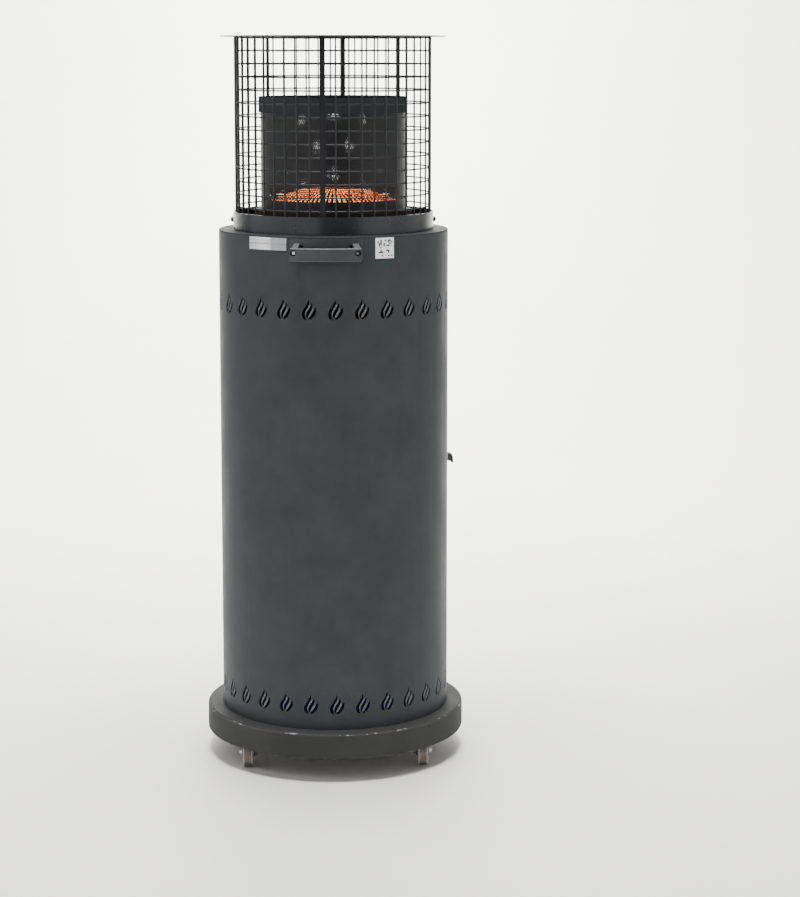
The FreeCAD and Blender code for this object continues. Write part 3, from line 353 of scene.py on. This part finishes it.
def foil_material():
    """Silvery foil without lettering: level lines, and a painted reflection that brightens and darkens
    its colour along it.
    """
    graph = Graph("rating_foil")
    low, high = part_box("rating_plate")
    middle = (low[2] + high[2]) / 2
    left = math.atan2(low[0], -high[1])
    right = math.atan2(high[0], -low[1])
    place = graph.math("DIVIDE", graph.math("SUBTRACT", graph.bearing(), left), right - left)
    patches = graph.noise(1, 2, 0.4, graph.stretched((55, 55, 3)))
    wander = graph.math("MULTIPLY", graph.math("SUBTRACT", patches, 0.5), 0.8)
    # Painted reflection: the colour runs from pale to bright to a dark blue grey along the plate.
    bright = graph.ramp(graph.math("ADD", place, wander),
                        (0.10, (0.62, 0.64, 0.65)), (0.35, (0.98, 0.98, 0.97)),
                        (0.62, (0.90, 0.91, 0.91)), (0.80, (0.36, 0.41, 0.45)))
    lines = graph.noise(1, 3, 0.6, graph.stretched((6, 6, 620)))
    dull = graph.ramp(lines, (0.42, 0), (0.62, 0.45))
    from_line = graph.math("ABSOLUTE", graph.math("SUBTRACT", graph.axis("Z"), middle))
    line = graph.math("LESS_THAN", from_line, FOIL_LINE_HALF_WIDTH)
    shade = graph.mix(dull, bright, (0.45, 0.46, 0.47))
    graph.feed("Base Color", graph.mix(graph.math("MULTIPLY", line, 0.7), shade, (0.22, 0.23, 0.24)))
    graph.feed("Roughness", graph.ramp(lines, (0.3, 0.28), (0.7, 0.42)))
    graph.set(Metallic=0.35)
    graph.bump(lines, 0.1, 0.0003)
    return graph.material


def handle_screw_material():
    """Chrome on the grip's two screws and black on the backplate's, by distance from the middle."""
    material = metal("handle_chrome", (0.86, 0.86, 0.87), (0.10, 0.20))
    graph = Graph("handle_chrome", material)
    inner = graph.math("LESS_THAN", graph.from_middle(), BACKPLATE_SCREW_REACH)
    under = graph.shader.inputs["Base Color"].links[0].from_socket
    graph.feed("Base Color", graph.mix(inner, under, (0.02, 0.02, 0.02)))
    return material


def base_material():
    """Satin paint with painted shade that darkens its top, chipped to bare metal along the skirt's
    edges, with specks.
    """
    graph = Graph("base_paint")
    graph.set(Specular_IOR_Level=0.06)
    colour = (0.042, 0.0432, 0.0428)
    patches = graph.noise(8, 5, 0.6)
    shade = graph.ramp(patches, (0.35, tuple(0.85 * part for part in colour)),
                       (0.70, tuple(1.15 * part for part in colour)))
    height = graph.axis("Z")
    # Painted shade: the top face is painted darker than the skirt.
    shaded_top = graph.math("GREATER_THAN", height, BASE_TOP_START)
    shade = graph.mix(shaded_top, shade, (0.031, 0.0315, 0.031))
    edges = []
    for level, reach in CHIPPED_EDGES:
        gap = graph.math("ABSOLUTE", graph.math("SUBTRACT", height, level))
        edges.append(graph.math("SUBTRACT", 1, graph.math("DIVIDE", gap, reach), clamp=True))
    outer = graph.math("GREATER_THAN", graph.from_middle(), SKIRT_FACE)
    edge = graph.math("MULTIPLY", graph.math("MAXIMUM", *edges), outer)
    chips = graph.noise(1, 5, 0.7, graph.stretched((42, 42, 160)))
    mask = graph.math("MULTIPLY", edge, graph.ramp(chips, (0.58, 0), (0.64, 1)), clamp=True)
    scuffs = graph.noise(1, 6, 0.8, graph.stretched((60, 60, 300)))
    faint = graph.math("MULTIPLY", graph.ramp(scuffs, (0.68, 0), (0.75, 1)), 0.25)
    shade = graph.mix(faint, shade, (0.25, 0.25, 0.25))
    shade = graph.mix(mask, shade, (0.30, 0.30, 0.29))
    specks = graph.ramp(graph.noise(70, 2, 0.5), (0.76, 0), (0.78, 1))
    shade = graph.mix(specks, shade, (0.008, 0.008, 0.008))
    graph.feed("Base Color", shade)
    graph.feed("Roughness", graph.ramp(patches, (0.35, 0.58), (0.70, 0.72)))
    chipped_away = graph.math("MULTIPLY", mask, -3)
    graph.bump(graph.math("ADD", graph.noise(800, 2, 0.5), chipped_away), 0.1, 0.0006)
    return graph.material


def wheel_material(side):
    """A brown dusty tread between two pale flanges, by distance along the axle."""
    graph = Graph(f"wheel_{side}")
    middle = -WHEEL_MIDDLE if side == "left" else WHEEL_MIDDLE
    across = graph.math("ABSOLUTE", graph.math("SUBTRACT", graph.axis("X"), middle))
    flange = graph.math("GREATER_THAN", across, FLANGE_START)
    dirt = graph.noise(90, 5, 0.65)
    tread = graph.ramp(dirt, (0.35, (0.085, 0.062, 0.040)), (0.7, (0.19, 0.155, 0.115)))
    rim = graph.ramp(dirt, (0.35, (0.20, 0.205, 0.19)), (0.7, (0.33, 0.34, 0.32)))
    graph.feed("Base Color", graph.mix(flange, tread, rim))
    graph.feed("Roughness", graph.ramp(dirt, (0.3, 0.5), (0.7, 0.8)))
    graph.bump(graph.noise(600, 3, 0.6), 0.2, 0.0006)
    return graph.material


def drum_material():
    """Thin steel, darkened by heat."""
    graph = Graph("drum_steel")
    graph.set(Metallic=0.3)
    patches = graph.noise(14, 5, 0.6)
    graph.feed("Base Color", graph.ramp(patches, (0.35, (0.016, 0.0175, 0.020)),
                                        (0.70, (0.030, 0.0325, 0.037))))
    graph.feed("Roughness", graph.ramp(patches, (0.35, 0.42), (0.70, 0.58)))
    return graph.material


def glow_material():
    """Hot metal in patches: from a dull red to a bright yellow orange."""
    graph = Graph("burner_glow")
    patches = graph.noise(55, 4, 0.7)
    hot = graph.ramp(patches, (0.34, (0.10, 0.008, 0.002)), (0.46, (0.85, 0.15, 0.025)),
                     (0.58, (1.0, 0.33, 0.07)), (0.68, (1.0, 0.52, 0.17)))
    graph.feed("Base Color", graph.ramp(patches, (0.3, (0.20, 0.05, 0.01)), (0.7, (0.45, 0.16, 0.04))))
    graph.feed("Emission Color", hot)
    graph.set(Emission_Strength=5.8, Roughness=0.6)
    return graph.material


MATERIALS = {
    "housing_paint": housing_material(),
    "base_paint": base_material(),
    "collar": paint("collar", (0.013, 0.0165, 0.021), (0.22, 0.30), relief=0.02,
                    Specular_IOR_Level=0.56),
    "drum_cap": paint("drum_cap", (0.047, 0.052, 0.062), (0.58, 0.70), Specular_IOR_Level=0.0),
    "guard_wire": paint("guard_wire", (0.015, 0.0165, 0.019), (0.40, 0.55)),
    "dark_steel": paint("dark_steel", (0.020, 0.020, 0.022), (0.45, 0.60)),
    "top_plate": plate_material(),
    "drum_steel": drum_material(),
    "burner_steel": metal("burner_steel", (0.07, 0.055, 0.045), (0.60, 0.80)),
    "dark_screw": metal("dark_screw", (0.10, 0.10, 0.11), (0.35, 0.55)),
    "zinc_sheet": metal("zinc_sheet", (0.42, 0.43, 0.44), (0.38, 0.55)),
    "zinc_fasteners": metal("zinc_fasteners", (0.62, 0.63, 0.64), (0.26, 0.42)),
    "panel_plastic": plain("panel_plastic", (0.016, 0.016, 0.018), (0.45, 0.60)),
    "wheel_rubber": wheel_material("left"),
    "pad_rubber": plain("pad_rubber", (0.02, 0.02, 0.02), (0.7, 0.85)),
    "catch_zinc": metal("catch_zinc", (0.55, 0.57, 0.52), (0.35, 0.55)),
    "catch_black": plain("catch_black", (0.015, 0.015, 0.016), (0.30, 0.45)),
    "handle_plate": paint("handle_plate", (0.035, 0.039, 0.043), (0.30, 0.42)),
    "handle_grip": paint("handle_grip", (0.039, 0.0435, 0.048), (0.40, 0.52), worn=0.6),
    "handle_chrome": handle_screw_material(),
    "rating_foil": foil_material(),
    "label_paper": label_material(),
    "bottle_paint": paint("bottle_paint", (0.04, 0.13, 0.40), (0.28, 0.40)),
    "brass": metal("brass", (0.66, 0.48, 0.20), (0.28, 0.45)),
    "regulator_grey": metal("regulator_grey", (0.42, 0.43, 0.44), (0.40, 0.55)),
    "lever_red": plain("lever_red", (0.42, 0.03, 0.02), (0.35, 0.50)),
    "hose_rubber": plain("hose_rubber", (0.50, 0.17, 0.03), (0.55, 0.70)),
    "copper_pipe": metal("copper_pipe", (0.60, 0.30, 0.17), (0.30, 0.50)),
    "cast_venturi": metal("cast_venturi", (0.12, 0.12, 0.12), (0.60, 0.80)),
    "white_ceramic": plain("white_ceramic", (0.80, 0.77, 0.70), (0.30, 0.45)),
    "black_plastic": plain("black_plastic", (0.015, 0.015, 0.016), (0.35, 0.50)),
    "button_red": plain("button_red", (0.40, 0.02, 0.015), (0.30, 0.45)),
    "burner_dome": glow_material(),
}


def dress(piece, material):
    piece.data.materials.clear()
    piece.data.materials.append(material)


for row in frame["record"]["subparts"]:
    dress(NODES[row["node"]], MATERIALS[row["material_slot"]])
dress(NODES["wheel_right"], wheel_material("right"))
dress(NODES["top_deck"], paint("deck_paint", (0.024, 0.0270, 0.0300), (0.55, 0.66),
                               Specular_IOR_Level=0.05))
dress(NODES["guard_straps"], paint("strap_paint", (0.017, 0.0195, 0.0235), (0.55, 0.66),
                                   Specular_IOR_Level=0.12))


# ---------------------------------------------------------------- visual pieces


def new_piece(name, points, faces, material, smooth=True):
    mesh = bpy.data.meshes.new(name)
    mesh.from_pydata(points, [], faces)
    mesh.update()
    for face in mesh.polygons:
        face.use_smooth = smooth
    piece = bpy.data.objects.new(name, mesh)
    bpy.context.collection.objects.link(piece)
    mesh.materials.append(material)
    return piece


def round_point(radius, bearing, height):
    return (radius * math.sin(bearing), -radius * math.cos(bearing), height)


def perforated_drum(name, first_row, last_row):
    """One band of the drum's wall, with staggered hexagonal holes as deep as the metal."""
    points, faces = [], []
    pitch = 2 * math.pi / HOLES_ROUND
    row_height = (PERFORATED_HIGH - PERFORATED_LOW) / HOLE_ROWS
    half_width = pitch * DRUM_RADIUS / 2
    index = {}

    def point(layer, across, up):
        """One shared point of the outer (0) or inner (1) face. across is in half pitches."""
        key = (layer, round(across % (2 * HOLES_ROUND), 4), round(up, 6))
        if key not in index:
            radius = DRUM_RADIUS - layer * DRUM_METAL
            index[key] = len(points)
            points.append(round_point(radius, across * pitch / 2, up))
        return index[key]

    def face(*corners):
        faces.append([point(0, *corner) for corner in corners])

    def plain_band(low, high):
        for column in range(2 * HOLES_ROUND):
            face((column, low), (column + 1, low), (column + 1, high), (column, high))

    for row in range(first_row, last_row):
        low = PERFORATED_LOW + row * row_height
        high = low + row_height
        middle = low + row_height / 2
        for column in range(HOLES_ROUND):
            centre = 2 * column + row % 2
            in_front = math.cos(centre * pitch / 2) > FRONT_BAND_COSINE
            band_top = BURNER_BAND_TOP if in_front else BURNER_BAND_TOP_BEHIND
            hole = BURNER_HOLE_RADIUS if middle < band_top else HOLE_RADIUS
            rim = []
            for corner in range(6):
                angle = math.pi * corner / 3 + math.pi / 6
                rim.append((centre + hole * math.cos(angle) / half_width,
                            middle + hole * math.sin(angle)))
            cell = ((centre + 1, middle), (centre + 1, high), (centre, high), (centre - 1, high),
                    (centre - 1, middle), (centre - 1, low), (centre, low), (centre + 1, low))
            right_high, top, left_high, left_low, bottom, right_low = rim
            face(right_low, cell[7], cell[0], cell[1], right_high)
            face(right_high, cell[1], cell[2], top)
            face(top, cell[2], cell[3], left_high)
            face(left_high, cell[3], cell[4], cell[5], left_low)
            face(left_low, cell[5], cell[6], bottom)
            face(bottom, cell[6], cell[7], right_low)
            for corner in range(6):
                first, second = rim[corner], rim[(corner + 1) % 6]
                faces.append([point(0, *second), point(0, *first),
                              point(1, *first), point(1, *second)])
    if first_row == 0:
        plain_band(DRUM_LOW, PERFORATED_LOW)
    if last_row == HOLE_ROWS:
        plain_band(PERFORATED_HIGH, DRUM_HIGH)
    return new_piece(name, points, faces, MATERIALS["drum_steel"], smooth=False)


def slotted_dome():
    """The burner's dome: red-hot radial ribs, each raised above the dark groove beside it."""
    points, faces = [], []
    steps = FACES_PER_RIB * DOME_RIBS
    rings = DOME_RINGS
    sphere = (DOME_RADIUS ** 2 + (DOME_TOP - DOME_EDGE) ** 2) / (2 * (DOME_TOP - DOME_EDGE))
    for ring in range(rings + 1):
        radius = DOME_RADIUS * (1 - DOME_SLOT_REACH * ring / rings)
        height = DOME_TOP - sphere + math.sqrt(sphere ** 2 - radius ** 2)
        for step in range(steps):
            in_groove = step % FACES_PER_RIB == FACES_PER_RIB - 1
            drop = GROOVE_DEPTH if in_groove and 0 < ring < rings else 0
            points.append(round_point(radius, 2 * math.pi * step / steps, height - drop))
    for ring in range(rings):
        for step in range(steps):
            after = (step + 1) % steps
            faces.append((ring * steps + step, ring * steps + after,
                          (ring + 1) * steps + after, (ring + 1) * steps + step))
    apex = len(points)
    points.append((0, 0, DOME_TOP))
    for step in range(steps):
        faces.append((rings * steps + step, rings * steps + (step + 1) % steps, apex))
    piece = new_piece("burner_dome_slotted", points, faces, MATERIALS["burner_dome"], smooth=False)
    piece.data.materials.append(MATERIALS["burner_steel"])
    for number, face in enumerate(piece.data.polygons):
        face.material_index = 0 if number % FACES_PER_RIB < GLOWING_FACES else 1
    return piece


drum_low = perforated_drum("emitter_drum_low", 0, HOLE_ROWS // 2)
drum_high = perforated_drum("emitter_drum_high", HOLE_ROWS // 2, HOLE_ROWS)
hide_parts("emitter_drum")
for band in (drum_low, drum_high):
    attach(band, "frame")

dome = slotted_dome()
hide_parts("burner_dome")
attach(dome, "frame")


# ---------------------------------------------------------------- stage


def area_light(name, place, target, size, power):
    data = bpy.data.lights.new(name, "AREA")
    data.shape = "RECTANGLE"
    data.size, data.size_y = size
    data.energy = power
    light = bpy.data.objects.new(name, data)
    light.location = place
    light.rotation_mode = "QUATERNION"
    light.rotation_quaternion = (Vector(target) - Vector(place)).to_track_quat("-Z", "Y")
    bpy.context.collection.objects.link(light)


def floor_and_wall():
    """A pale sweep: a flat floor that curves up into a wall well behind the heater."""
    profile = [(SWEEP_FRONT, 0.0), (CURVE_START, 0.0)]
    for step in range(1, CURVE_STEPS + 1):
        angle = math.pi / 2 * step / CURVE_STEPS
        profile.append((CURVE_START + CURVE_RADIUS * math.sin(angle),
                        CURVE_RADIUS * (1 - math.cos(angle))))
    profile.append((CURVE_START + CURVE_RADIUS, WALL_TOP))
    points, faces = [], []
    for along, up in profile:
        points.append((-SWEEP_HALF_WIDTH, along, up))
        points.append((SWEEP_HALF_WIDTH, along, up))
    for row in range(len(profile) - 1):
        faces.append((2 * row, 2 * row + 1, 2 * row + 3, 2 * row + 2))
    graph = Graph("sweep")
    patches = graph.noise(1.6, 4, 0.5)
    graph.feed("Base Color", graph.ramp(patches, (0.3, (0.63, 0.625, 0.590)),
                                        (0.7, (0.68, 0.674, 0.638))))
    graph.feed("Roughness", graph.ramp(patches, (0.3, 0.55), (0.7, 0.65)))
    return new_piece("sweep", points, faces, graph.material)


floor_and_wall()

world = bpy.data.worlds.new("studio")
world.use_nodes = True
world.node_tree.nodes["Background"].inputs["Color"].default_value = (1, 1, 1, 1)
world.node_tree.nodes["Background"].inputs["Strength"].default_value = WORLD_STRENGTH
bpy.context.scene.world = world

for number, (bearing, width, share) in enumerate(PANELS):
    place = round_point(PANEL_DISTANCE, math.radians(bearing), PANEL_MIDDLE)
    power = share * PANEL_RADIANCE * math.pi * width * PANEL_HEIGHT
    area_light(f"panel_{number}", place, PANEL_TARGET, (width, PANEL_HEIGHT), power)
area_light("above", (0, -0.1, 3.4), (0, -0.1, 0), (1.3, 1.3), 340)
area_light("front_top", (-1.6, -2.5, 3.6), (0, -0.2, 0.9), (1.2, 1.2), 30)
area_light("wall_wash", (0, 2.3, 3.1), (0, 4.2, 1.1), (2.4, 0.8), 770)

camera_data = bpy.data.cameras.new("camera")
camera_data.lens = CAMERA_LENS
camera_data.sensor_width = 36
camera_data.shift_y = CAMERA_SHIFT
camera = bpy.data.objects.new("camera", camera_data)
camera.location = CAMERA_PLACE
camera.rotation_euler = (math.pi / 2 - CAMERA_PITCH, 0, CAMERA_YAW)
bpy.context.collection.objects.link(camera)
bpy.context.scene.camera = camera
